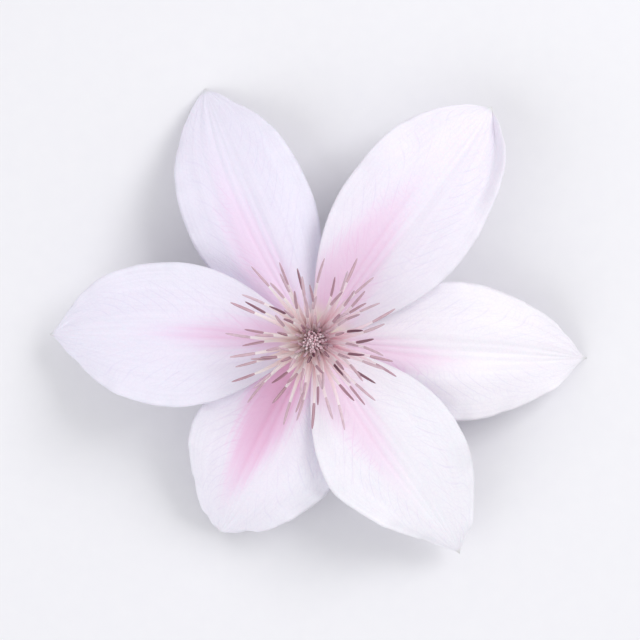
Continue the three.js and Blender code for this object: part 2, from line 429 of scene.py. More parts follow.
def vein_group() -> bpy.types.NodeTree:
    """Makes the veins of a blade, once for the materials of all faces and backs.

    The three main veins run from claw to tip, and branches leave them at a slant for the margins, with finer
    ones between. A net of veinlets fills what is left. The map's first value runs across the blade and its
    second along it, and Place is in metres.

    Returns:
        The node group.
    """
    made = bpy.data.node_groups.get("blade veins")
    if made is not None:
        return made
    graph, start = new_group("blade veins", [("Map", "Vector"), ("Place", "Vector")])
    across, along, _ = graph.split(start.outputs["Map"])
    share = graph.math("ABSOLUTE", graph.math("MULTIPLY_ADD", across, 2.0, -1.0))
    outer = graph.math("ABSOLUTE", graph.math("SUBTRACT", share, RIB_SPACING))
    main = graph.step(graph.math("MINIMUM", share, outer), 0.05, 0.0)
    main = graph.product(main, graph.step(along, 0.95, 0.3))
    slant = graph.math("SUBTRACT", graph.product(graph.math("POWER", share, 1.4), 0.36), along)
    branches = (15.0, 3.0, 0.1)  # how many there are along a blade, how closely they bend, how wide they are
    twigs = (37.0, 6.0, 0.2)
    sides = []
    for count, bend, width in (branches, twigs):
        wander = graph.noise(graph.stretched(start.outputs["Map"], bend, bend * 0.7), 1.0, 0.0)
        turn = graph.math("FRACT", graph.product(graph.math("MULTIPLY_ADD", wander, 0.2, slant), count))
        near = graph.math("MINIMUM", turn, graph.math("SUBTRACT", 1.0, turn))
        faint = graph.noise(graph.stretched(start.outputs["Map"], bend * 2.0, bend * 2.0), 1.0, 1.0)
        sides.append(graph.product(graph.step(near, width, 0.0), graph.step(faint, 0.25, 0.65)))
    side = graph.math("MAXIMUM", sides[0], graph.product(sides[1], 0.5))
    side = graph.product(side, graph.step(share, 0.1, 0.4), graph.step(share, 1.0, 0.7))
    streak = graph.noise(graph.stretched(start.outputs["Map"], 44.0, 2.6), 1.0, 3.0)
    net = graph.step(graph.cells(start.outputs["Place"], 1050.0), 0.12, 0.0)
    mottle = graph.noise(start.outputs["Place"], 170.0, 3.0)
    return end_group(graph, Main=main, Side=side, Streak=streak, Net=net, Mottle=mottle)


def grain_group() -> bpy.types.NodeTree:
    """Makes the fine grain of a plant's skin, once for stalk, filaments, anthers and styles.

    Returns:
        The node group, whose Size is how many grains there are in a metre.
    """
    made = bpy.data.node_groups.get("skin grain")
    if made is not None:
        return made
    graph, start = new_group("skin grain", [("Place", "Vector"), ("Size", "Float")])
    place, size = start.outputs["Place"], start.outputs["Size"]
    coarse = graph.noise(place, graph.product(size, 0.18))
    return end_group(graph, Coarse=coarse, Fine=graph.noise(place, size, 4.0))


@dataclass(frozen=True, kw_only=True)
class Finish:
    """What all finishes share: a name, and the numbers that are the same all over a surface.

    Attributes:
        name: The material's name.
        roughness, specular: How matt it is, and how strong its highlights are.
        sheen, sheen_roughness: How strong and how soft the shine of its finest down is.
        subsurface: How much of the light goes in under the surface.
        subsurface_depth: How deep it goes, in millimetres.
        subsurface_radius: The shares of that depth for red, green and blue.
    """

    name: str
    roughness: float = 0.6
    specular: float = 0.3
    sheen: float = 0.0
    sheen_roughness: float = 0.4
    subsurface: float = 0.0
    subsurface_depth: float = 0.6
    subsurface_radius: tuple[float, float, float] = (1.0, 0.8, 0.85)

    def build(self) -> bpy.types.Material:
        """Builds the material.

        Returns:
            The material.
        """
        material = bpy.data.materials.new(self.name)
        material.use_nodes = True
        shader = material.node_tree.nodes["Principled BSDF"]
        shader.inputs["Roughness"].default_value = self.roughness
        shader.inputs["Specular IOR Level"].default_value = self.specular
        shader.inputs["Sheen Weight"].default_value = self.sheen
        shader.inputs["Sheen Roughness"].default_value = self.sheen_roughness
        shader.inputs["Subsurface Weight"].default_value = self.subsurface
        shader.inputs["Subsurface Radius"].default_value = self.subsurface_radius
        shader.inputs["Subsurface Scale"].default_value = self.subsurface_depth * MM
        self.dress(Graph(material.node_tree), shader)
        return material

    def dress(self, graph: Graph, shader: bpy.types.Node) -> None:
        """Adds what changes over the surface.

        Args:
            graph: The material's graph.
            shader: Its Principled shader.
        """
        raise NotImplementedError

    def bump(self, graph: Graph, shader: bpy.types.Node, height: Socket, depth: float) -> None:
        """Gives the shader a relief.

        Args:
            graph: The material's graph.
            shader: Its Principled shader.
            height: The relief, from 0 to 1.
            depth: How deep it is, in millimetres.
        """
        relief = graph.node("Bump")
        relief.inputs["Strength"].default_value = 1.0
        relief.inputs["Distance"].default_value = depth * MM
        graph.feed(relief.inputs["Height"], height)
        graph.feed(shader.inputs["Normal"], relief.outputs[0])


@dataclass(frozen=True, kw_only=True)
class Bar:
    """The pink bar on a tepal's face.

    Attributes:
        strength: How strong its pink is.
        heart: How strong the deeper pink in its middle is.
        length: The share of the blade's length that it reaches.
        half_width: Half its width near the claw.
        aside: How far its middle lies to the left of the midrib.
    """

    strength: float
    heart: float
    length: float
    half_width: float
    aside: float


@dataclass(frozen=True, kw_only=True)
class BladeFace(Finish):
    """The face of a tepal: near white, with a pink bar that tapers from the claw towards the tip.

    Attributes:
        blade, shade: The colours that the blade is mottled with.
        bar_form: The bar's size and strength.
        fray: How wide the band is in which streaks fray the bar's edges.
        flush_reach: How much further out than the bar a faint flush of its colour reaches.
        flush_share: How strong that flush is.
        bar, heart: The colours of the bar and of its middle.
        vein, claw, tip: The colours of the veins, of the blade's foot and of its very tip.
        relief: How deep the veins and streaks are, in millimetres.
    """

    blade: Colour
    shade: Colour
    bar_form: Bar
    fray: float = 4.2
    flush_reach: float = 7.0
    flush_share: float = 0.28
    bar: Colour = srgb(243, 203, 231)
    heart: Colour = srgb(230, 156, 196)
    vein: Colour = srgb(222, 214, 240)
    claw: Colour = srgb(240, 236, 222)
    tip: Colour = srgb(206, 214, 196)
    relief: float = 0.07

    def dress(self, graph: Graph, shader: bpy.types.Node) -> None:
        """Adds the bar, the veins and the soft mottling.

        Args:
            graph: The material's graph.
            shader: Its Principled shader.
        """
        flat = graph.node("UVMap", uv_map=BLADE_MAP).outputs[0]
        veins = graph.group(vein_group(), Map=flat, Place=graph.place()).outputs
        _, along, _ = graph.split(flat)
        aside = graph.math("SUBTRACT", graph.attribute("across"), self.bar_form.aside)
        distance = graph.math("ABSOLUTE", aside)
        bar, heart = self.bar_masks(graph, along, distance, veins["Streak"])
        haze = graph.product(veins["Mottle"], graph.step(veins["Streak"], 0.2, 0.8))
        colour = graph.mix(haze, self.blade, self.shade)
        lines = graph.total(graph.product(veins["Side"], 0.3), graph.product(veins["Net"], 0.1))
        colour = graph.mix(lines, colour, self.vein)
        colour = graph.mix(bar, colour, self.bar)
        colour = graph.mix(graph.product(veins["Side"], graph.step(bar, 0.02, 0.3), 0.4), colour, self.bar)
        colour = graph.mix(heart, colour, self.heart)
        colour = graph.mix(graph.product(veins["Main"], bar, 0.22), colour, self.heart)
        colour = graph.mix(graph.step(along, 0.1, 0.02), colour, self.claw)
        colour = graph.mix(graph.product(graph.step(along, 0.965, 1.0), 0.5), colour, self.tip)
        graph.feed(shader.inputs["Base Color"], colour)
        roughness = graph.math("MULTIPLY_ADD", veins["Mottle"], 0.14, self.roughness - 0.07)
        graph.feed(shader.inputs["Roughness"], roughness)
        sunk = graph.total(graph.product(veins["Side"], 0.3), graph.product(veins["Net"], 0.15))
        sunk = graph.total(sunk, graph.product(veins["Main"], 0.5))
        height = graph.math("SUBTRACT", graph.product(veins["Streak"], 0.7), sunk)
        self.bump(graph, shader, height, self.relief)

    def bar_masks(
        self, graph: Graph, along: Socket, distance: Socket, streak: Socket
    ) -> tuple[Socket, Socket]:
        """Draws the bar and its deeper heart, both with streaked edges that fade towards the tip.

        Args:
            graph: The material's graph.
            along: The share of the blade's length.
            distance: The distance from the bar's middle, in millimetres.
            streak: The lengthwise streaks.

        Returns:
            The masks of the bar and of its heart.
        """
        form = self.bar_form
        taper = graph.math("POWER", graph.step(along, form.length * 1.06, -0.1), 0.7)
        half = graph.product(taper, form.half_width)
        ragged = graph.math("MULTIPLY_ADD", streak, self.fray, graph.total(distance, -self.fray / 2))
        bar = graph.step(ragged, graph.total(half, 2.4), graph.total(half, -2.8))
        bar = graph.product(bar, graph.step(along, form.length, form.length * 0.4))
        flush = graph.step(distance, form.half_width + self.flush_reach, 0.5)
        flush = graph.product(flush, self.flush_share, graph.step(along, form.length, 0.1))
        heart = graph.step(ragged, graph.total(half, 0.2), -1.4)
        heart = graph.product(heart, graph.step(along, form.length * 0.9, 0.14), form.heart)
        return graph.product(graph.math("MAXIMUM", bar, flush), form.strength), heart


@dataclass(frozen=True, kw_only=True)
class BladeBack(Finish):
    """The back of a tepal: paler and downier, with three raised greenish veins.

    Attributes:
        blade, shade: The colours that the blade is mottled with.
        vein: The colour of the side veins.
        band, rib: The colours of the band along the midrib and of the three main veins.
    """

    blade: Colour = srgb(240, 236, 247)
    shade: Colour = srgb(229, 222, 240)
    vein: Colour = srgb(212, 201, 222)
    band: Colour = srgb(214, 218, 190)
    rib: Colour = srgb(176, 186, 142)

    def dress(self, graph: Graph, shader: bpy.types.Node) -> None:
        """Adds the greenish band along the midrib, the veins and the down.

        Args:
            graph: The material's graph.
            shader: Its Principled shader.
        """
        flat = graph.node("UVMap", uv_map=BLADE_MAP).outputs[0]
        veins = graph.group(vein_group(), Map=flat, Place=graph.place()).outputs
        _, along, _ = graph.split(flat)
        distance = graph.math("ABSOLUTE", graph.attribute("across"))
        ragged = graph.math("MULTIPLY_ADD", veins["Streak"], 2.4, distance)
        band = graph.product(graph.step(ragged, 5.2, 1.6), graph.step(along, 0.98, 0.2), 0.75)
        colour = graph.mix(veins["Mottle"], self.blade, self.shade)
        colour = graph.mix(graph.product(veins["Side"], 0.3), colour, self.vein)
        colour = graph.mix(band, colour, self.band)
        colour = graph.mix(graph.product(veins["Main"], 0.8), colour, self.rib)
        graph.feed(shader.inputs["Base Color"], colour)
        down = graph.noise(graph.place(), 3200.0)
        raised = graph.total(graph.product(veins["Side"], 0.35), graph.product(veins["Main"], 0.8))
        self.bump(graph, shader, graph.total(raised, graph.product(down, 0.5)), 0.12)


@dataclass(frozen=True, kw_only=True)
class ThreadFinish(Finish):
    """A finish for filaments, anthers and styles, that changes along each one and from one to the next.

    Attributes:
        foot, end: A thread's colours at its foot and at its end, where its tone is 0.
        other_foot, other_end: The same where its tone is 1.
        dark: The colour of the specks and of the darkest threads.
        seam: The colour in an anther's furrow.
        seam_share: How strong that seam is.
        dusk_share: How dark the threads with a tone near 1 are.
        grain, grain_share: How many grains there are in a metre, and how strong their specks are.
        relief: How deep the grain is, in millimetres.
    """

    foot: Colour
    end: Colour
    other_foot: Colour
    other_end: Colour
    dark: Colour
    seam: Colour = srgb(236, 208, 214)
    seam_share: float = 0.0
    dusk_share: float = 0.0
    grain: float = 2600.0
    grain_share: float = 0.25
    relief: float = 0.04

    def dress(self, graph: Graph, shader: bpy.types.Node) -> None:
        """Adds the change of colour along each thread, its tone, its seam and its grain.

        Args:
            graph: The material's graph.
            shader: Its Principled shader.
        """
        along = graph.attribute("along")
        skin = graph.group(grain_group(), Place=graph.place(), Size=self.grain).outputs
        plain = graph.mix(along, self.foot, self.end)
        colour = graph.mix(graph.attribute("tone"), plain, graph.mix(along, self.other_foot, self.other_end))
        dusk = graph.product(graph.step(graph.attribute("tone"), 0.7, 1.0), self.dusk_share)
        specks = graph.product(graph.step(skin["Coarse"], 0.35, 0.75), self.grain_share)
        colour = graph.mix(graph.math("MAXIMUM", dusk, specks), colour, self.dark)
        colour = graph.mix(graph.product(graph.attribute("furrow"), self.seam_share), colour, self.seam)
        graph.feed(shader.inputs["Base Color"], colour)
        self.bump(graph, shader, skin["Fine"], self.relief)


@dataclass(frozen=True, kw_only=True)
class StalkSkin(Finish):
    """The skin of the stalk: matt green, tinged with brown purple along its ribs.

    Attributes:
        green, pale: The colours of the skin.
        flush: The tinge on the ribs.
    """

    green: Colour = srgb(128, 146, 84)
    pale: Colour = srgb(160, 172, 112)
    flush: Colour = srgb(112, 84, 80)

    def dress(self, graph: Graph, shader: bpy.types.Node) -> None:
        """Adds the tinge on the ribs and the grain.

        Args:
            graph: The material's graph.
            shader: Its Principled shader.
        """
        skin = graph.group(grain_group(), Place=graph.place(), Size=1500.0).outputs
        colour = graph.mix(skin["Coarse"], self.green, self.pale)
        ribs = graph.product(graph.attribute("rib"), graph.step(skin["Coarse"], 0.3, 0.7), 0.65)
        colour = graph.mix(ribs, colour, self.flush)
        colour = graph.mix(graph.attribute("swell"), colour, self.pale)
        graph.feed(shader.inputs["Base Color"], colour)
        self.bump(graph, shader, skin["Fine"], 0.08)


@dataclass(frozen=True, kw_only=True)
class CutFace(Finish):
    """The cut end of the stalk: a wet pale green ring of fibres round a white pith."""

    rind: Colour = srgb(150, 168, 102)
    pith: Colour = srgb(226, 230, 200)

    def dress(self, graph: Graph, shader: bpy.types.Node) -> None:
        """Adds the pith and the fibres.

        Args:
            graph: The material's graph.
            shader: Its Principled shader.
        """
        fibres = graph.cells(graph.place(), 4200.0)
        colour = graph.mix(graph.step(graph.attribute("radius"), 0.9, 0.45), self.rind, self.pith)
        colour = graph.mix(graph.product(graph.step(fibres, 0.12, 0.0), 0.4), colour, self.rind)
        graph.feed(shader.inputs["Base Color"], colour)
        self.bump(graph, shader, fibres, 0.06)


@dataclass(frozen=True, kw_only=True)
class PlainFinish(Finish):
    """Two close colours that change softly from place to place, for down and for the floor.

    Attributes:
        light, dim: The two colours.
        grain: How finely they change.
    """

    light: Colour
    dim: Colour
    grain: float

    def dress(self, graph: Graph, shader: bpy.types.Node) -> None:
        """Adds the change between the two colours.

        Args:
            graph: The material's graph.
            shader: Its Principled shader.
        """
        shade = graph.noise(graph.place(), self.grain)
        graph.feed(shader.inputs["Base Color"], graph.mix(shade, self.light, self.dim))


def skin_tubes(
    mesh: bmesh.types.BMesh, tubes: Sequence[Sequence[Ring]], materials: Sequence[int]
) -> list[list[list[bmesh.types.BMVert]]]:
    """Skins closed tubes over rings of points, all extruded together ring by ring.

    Args:
        mesh: The mesh that they are added to.
        tubes: The rings of each tube. All tubes have as many rings, and all rings as many points.
        materials: The material number of the faces between each ring and the next.

    Returns:
        The vertices of each ring of each tube.
    """
    sides = len(tubes[0][0])
    rows: list[list[list[bmesh.types.BMVert]]] = []
    for tube in tubes:
        circle = bmesh.ops.create_circle(mesh, segments=sides, radius=1.0)["verts"]
        for vertex, point in zip(circle, tube[0]):
            vertex.co = point
        rows.append([circle])
    edges = {e for row in rows for v in row[0] for e in v.link_edges}
    for step in range(1, len(tubes[0])):
        grown = bmesh.ops.extrude_edge_only(mesh, edges=list(edges))["geom"]
        fresh = {g for g in grown if isinstance(g, bmesh.types.BMVert)}
        edges = {g for g in grown if isinstance(g, bmesh.types.BMEdge)}
        for face in {f for e in edges for f in e.link_faces}:
            face.material_index = materials[step - 1]
        for row, tube in zip(rows, tubes):
            ring = []
            for vertex, point in zip(row[-1], tube[step]):
                copy = next(o for e in vertex.link_edges if (o := e.other_vert(vertex)) in fresh)
                copy.co = point
                ring.append(copy)
            row.append(ring)
    for row in rows:
        for ring, number in ((row[0], materials[0]), (row[-1], materials[-1])):
            mesh.faces.new(ring).material_index = number
    bmesh.ops.recalc_face_normals(mesh, faces=mesh.faces)
    return rows


def spin_profile(mesh: bmesh.types.BMesh, profile: Sequence[tuple[float, float]], steps: int) -> None:
    """Turns a profile about the flower's axis into a closed body.

    Args:
        mesh: The mesh that it is added to.
        profile: The distance from the axis and the height of each point, from the axis and back to it.
        steps: How many steps the full turn has.
    """
    chain = [mesh.verts.new((radius, 0.0, height)) for radius, height in profile]
    edges = [mesh.edges.new(pair) for pair in zip(chain, chain[1:])]
    bmesh.ops.spin(
        mesh, geom=chain + edges, cent=(0, 0, 0), axis=(0, 0, 1), angle=2 * math.pi, steps=steps,
        use_merge=True,
    )
    bmesh.ops.remove_doubles(mesh, verts=mesh.verts, dist=1e-4)
    bmesh.ops.recalc_face_normals(mesh, faces=mesh.faces)


@dataclass(kw_only=True)
class Piece:
    """What all pieces of the flower share: where they stand, and how they are handed over.

    Attributes:
        axis: The point on the flower's axis that they are placed about, in metres.
    """

    axis: Vector

    def hand_over(
        self,
        name: str,
        mesh: bmesh.types.BMesh,
        finishes: Sequence[Finish],
        slot: Slot,
        stands_for: str | None = None,
    ) -> bpy.types.Object:
        """Makes an object of a finished mesh, puts it on the flower's axis and ties it to the frame.

        Args:
            name: The object's name.
            mesh: Its mesh, in millimetres about the flower's axis.
            finishes: Its finishes, in the order of the faces' material numbers.
            slot: The record's slot that it would take its finish from. It is not used.
            stands_for: The solid that it replaces, if there is one.

        Returns:
            The object.
        """
        place = Matrix.Translation(self.axis) @ Matrix.Scale(MM, 4)
        bmesh.ops.transform(mesh, matrix=place, verts=mesh.verts)
        data = bpy.data.meshes.new(name)
        mesh.to_mesh(data)
        mesh.free()
        data.shade_smooth()
        for finish in finishes:
            data.materials.append(finish.build())
        made = bpy.data.objects.new(name, data)
        bpy.context.scene.collection.objects.link(made)
        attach(made, ROOT)
        if stands_for is not None:
            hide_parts(stands_for)
        LOG.info("%s: %d faces", name, len(data.polygons))
        return made


@dataclass(frozen=True, kw_only=True)
class Margin:
    """One side of a tepal: its widest half width, and how full it stays towards the tip."""

    widest: float
    full: float


@dataclass(kw_only=True)
class Tepal(Piece):
    """One tepal: a thin pointed blade with three main veins and a softly waved margin.

    Attributes:
        number: Its number, counter-clockwise from the tepal on the right.
        bearing: The direction of its tip, seen from the flower's axis.
        reach: How far its tip is from the axis.
        left, right: Its two sides, seen from the claw.
        sway: How far the midrib bows to the left on its way.
        knee: The share of the reach where the midrib starts to turn down.
        crown: How far the blade rises above its claw.
        tip: The height of its tip above the surface.
        ruffle: The height of the waves in the margins.
        whorl: The whorl that it belongs to.
        claw_height: The height of the outer whorl's claws above the surface.
        bar: Its pink bar.
        tint: The screen colour of its face away from the bar. It differs from tepal to tepal partly as
            painted light, lighter on the right-hand tepals and darker on the left-hand ones.
        point: How much the last tenth is drawn in to a point.
        roll: How far the right margin rolls up behind the tip.
        seat: How far its foot is from the axis.
        risen: The share of the reach where the midrib has risen to its crown.
        inset: The share of its length that the foot goes further in than the solid's, under the brush.
        claw_half_width, tip_half_width: Half its width at its foot and at its tip.
        widest_at: The share of its length where it is widest.
        shoulder: How slowly it widens from the claw: the less, the faster.
        rib_depth, rib_width: How deep a main vein is sunk, and its share of the half width.
        channel_depth, channel_width: The same for the channel along the midrib.
        waves: How many waves each margin has.
        thickness: How thick it is at the midrib.
        thinnest: The share of that below which it never falls towards its margins and its tip.
        mottling: How much darker than the tint its mottles are.
        rows, columns: How many faces its grid has along it and across it.
    """

    number: int
    bearing: float
    reach: float
    left: Margin
    right: Margin
    sway: float
    knee: float
    crown: float
    tip: float
    ruffle: float
    whorl: Whorl
    claw_height: float
    bar: Bar
    tint: tuple[int, int, int]
    point: float
    roll: float = 0.0
    seat: float = 3.0
    risen: float = 0.36
    inset: float = 0.014
    claw_half_width: float = 1.7
    tip_half_width: float = 0.14
    widest_at: float = 0.46
    shoulder: float = 0.85
    rib_depth: float = 0.15
    rib_width: float = 0.05
    channel_depth: float = 0.5
    channel_width: float = 0.2
    waves: float = 2.6
    thickness: float = 0.42
    thinnest: float = 0.25
    mottling: int = 9
    rows: int = 132
    columns: int = 68

    def half_width(self, along: float, across: float) -> float:
        """Works out half the blade's width.

        Args:
            along: The share of its length.
            across: Which side is asked for: the left one where it is above 0.

        Returns:
            The half width.
        """
        margin = self.left if across > 0 else self.right
        opening = math.sin(math.pi / 2 * min(max(along, 0.0) / self.widest_at, 1.0)) ** self.shoulder
        closing = clamp((along - self.widest_at) / (1.0 - self.widest_at))
        blade = lerp(self.claw_half_width, margin.widest, opening) * (1.0 - closing**margin.full)
        return max(blade * (1.0 - self.point * smooth(along, 0.9, 1.0)), self.tip_half_width)

    def groove(self, along: float, across: float) -> float:
        """Works out how far the channel along the midrib and the three main veins in it sink the face.

        Args:
            along: The share of the blade's length.
            across: The share of its half width, above 0 on the left.

        Returns:
            The depth.
        """
        veins = [math.exp(-(((across - k * RIB_SPACING) / self.rib_width) ** 2)) for k in (-1, 0, 1)]
        ribs = self.rib_depth * max(veins) * (1.0 - smooth(along, 0.8, 1.0))
        channel = self.channel_depth * math.exp(-((across / self.channel_width) ** 2))
        return (channel * (1.0 - smooth(along, 0.5, 1.0)) + ribs) * smooth(along, 0.02, 0.14)

    def crinkle(self, along: float, across: float) -> float:
        """Works out the small waves of the margin and the soft swells of the blade between its veins.

        Args:
            along: The share of the blade's length.
            across: The share of its half width, above 0 on the left.

        Returns:
            How far they lift the face.
        """
        side = TepalDraw.LEFT_CRINKLE if across > 0 else TepalDraw.RIGHT_CRINKLE
        phase = jitter(self.number, side)
        edge = math.sin(2 * math.pi * (7.5 * along + phase))
        edge += 0.6 * math.sin(2 * math.pi * (12.7 * along + 3 * phase))
        edge *= 0.2 * smooth(along, 0.2, 0.45) * (1.0 - smooth(along, 0.92, 1.0)) * abs(across) ** 6
        lane = 9.7 * self.number
        swell = 0.5 * noise.noise(Vector((1.6 * across, 2.4 * along, lane)))
        swell += 0.2 * noise.noise(Vector((5.0 * across, 3.2 * along, lane + 3.0)))
        swell += 0.05 * noise.noise(Vector((14.0 * across, 8.0 * along, lane + 6.0)))
        return edge + swell * smooth(along, 0.1, 0.35) * (1.0 - smooth(along, 0.9, 1.0))

    def row(self, along: float) -> Callable[[float], tuple[Vector, float]]:
        """Prepares one row of the blade.

        Args:
            along: The row's share of the blade's length.

        Returns:
            A function from the share across, -1 at the right margin and 1 at the left one, to the point on
            the blade's middle surface and its distance from the midrib.
        """
        claw = self.whorl.rise
        midrib = [
            Vector((self.seat, 0.0, claw)),
            Vector((lerp(self.seat, self.reach, self.risen), self.sway, claw + self.crown)),
            Vector((lerp(self.seat, self.reach, self.knee), self.sway, claw + self.crown)),
            Vector((self.reach, 0.0, self.tip - self.claw_height)),
        ]
        rib, ahead = bezier(midrib, along)
        leftwards = Vector((-ahead.y, ahead.x, 0.0)).normalized()
        outwards = ahead.cross(leftwards)
        spread = smooth(along, 0.02, 0.3) * (1.0 - smooth(along, 0.55, 1.0))
        ruffled = smooth(along, 0.4, 0.62) * (1.0 - smooth(along, 0.86, 1.0))
        curling = smooth(along, 0.5, 0.72) * (1.0 - smooth(along, 0.92, 1.0))
        turn = Matrix.Rotation(math.radians(self.bearing), 3, "Z")

        def at(across: float) -> tuple[Vector, float]:
            """Finds a point of the row.

            Args:
                across: Its share of the half width.

            Returns:
                The point and its distance from the midrib.
            """
            distance = across * self.half_width(along, across)
            side = TepalDraw.LEFT_WAVE if across > 0 else TepalDraw.RIGHT_WAVE
            phase = jitter(self.number - 1, side)
            wave = math.sin(2 * math.pi * (self.waves * along + phase))
            rolled = self.roll * curling * smooth(-across, 0.7, 1.0)
            lift = self.whorl.margin_turn * spread * across**2
            lift += self.ruffle * ruffled * wave * abs(across) ** 3 + rolled
            lift += self.crinkle(along, across) - self.groove(along, across)
            return turn @ (rib + leftwards * (distance + 0.4 * rolled) + outwards * lift), distance

        return at

    def build(self) -> bpy.types.Object:
        """Builds the blade from a flat grid, and dresses it.

        Returns:
            The blade's object.
        """
        mesh = bmesh.new()
        bmesh.ops.create_grid(mesh, x_segments=self.columns, y_segments=self.rows, size=1.0)
        flat = mesh.loops.layers.uv.new(BLADE_MAP)
        distance = mesh.verts.layers.float.new("across")
        weights = mesh.verts.layers.deform.verify()
        # The grid's x runs to the right and the share across to the left, closer together at the midrib.
        shares = {v: (-v.co.x * (0.7 + 0.3 * v.co.x**2), (v.co.y + 1) / 2) for v in mesh.verts}
        for face in mesh.faces:
            for loop in face.loops:
                across, along = shares[loop.vert]
                loop[flat].uv = (0.5 + 0.5 * across, along)
        rows: dict[float, Callable[[float], tuple[Vector, float]]] = {}
        for vertex, (across, along) in shares.items():
            row = rows.setdefault(round(along, 6), self.row(along * (1.0 + self.inset) - self.inset))
            vertex.co, vertex[distance] = row(across)
            thinner = (1.0 - 0.8 * abs(across) ** 3) * (1.0 - 0.5 * smooth(along, 0.8, 1.0))
            vertex[weights][0] = thinner
        solid = f"tepal_{self.number}"
        made = self.hand_over(solid + "_blade", mesh, self.finishes(), Slot.TEPAL, solid)
        made.vertex_groups.new(name="blade")
        wall = made.modifiers.new("thickness", "SOLIDIFY")
        wall.thickness = self.thickness * MM
        wall.offset = 0.0
        wall.vertex_group = "blade"
        wall.thickness_vertex_group = self.thinnest
        wall.material_offset = 1
        return made

    def finishes(self) -> list[Finish]:
        """Lists the finishes of the blade's face and of its back."""
        shade = srgb(*(channel - self.mottling for channel in self.tint))
        return [
            BladeFace(
                name=f"tepal face {self.number}", roughness=0.5, specular=0.35, sheen=0.15, subsurface=0.35,
                blade=srgb(*self.tint), shade=shade, bar_form=self.bar,
            ),
            BladeBack(name=f"tepal back {self.number}", roughness=0.7, sheen=0.3, subsurface=0.35),
        ]


@dataclass(frozen=True, kw_only=True)
class Receptacle:
    """The swollen end of the stalk, that carries the tepals and the stamens.

    Attributes:
        radius: Its radius where it is widest.
        top, bottom: The heights of its flat top and of its lowest ring.
    """

    radius: float = 2.7
    top: float = 1.9
    bottom: float = -1.6

    @property
    def heights(self) -> tuple[float, ...]:
        """The heights of the rings round it, closer together at its upper edge."""
        return (self.top, 1.8, 1.5, 0.9, 0.2, -0.4, -0.9, -1.3, self.bottom)

    def find_axis(self) -> Vector:
        """Finds the flower's axis from the receptacle's flat top, the highest part of the stalk's solid.

        Returns:
            The point on the axis at the height of the outer claws, in metres.
        """
        corners = [v.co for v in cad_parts["peduncle"].data.vertices]
        top = max(c.z for c in corners)
        rim = [c for c in corners if c.z > top - 0.01 * MM]
        xs = [c.x for c in rim]
        ys = [c.y for c in rim]
        return Vector(((min(xs) + max(xs)) / 2, (min(ys) + max(ys)) / 2, top - self.top * MM))


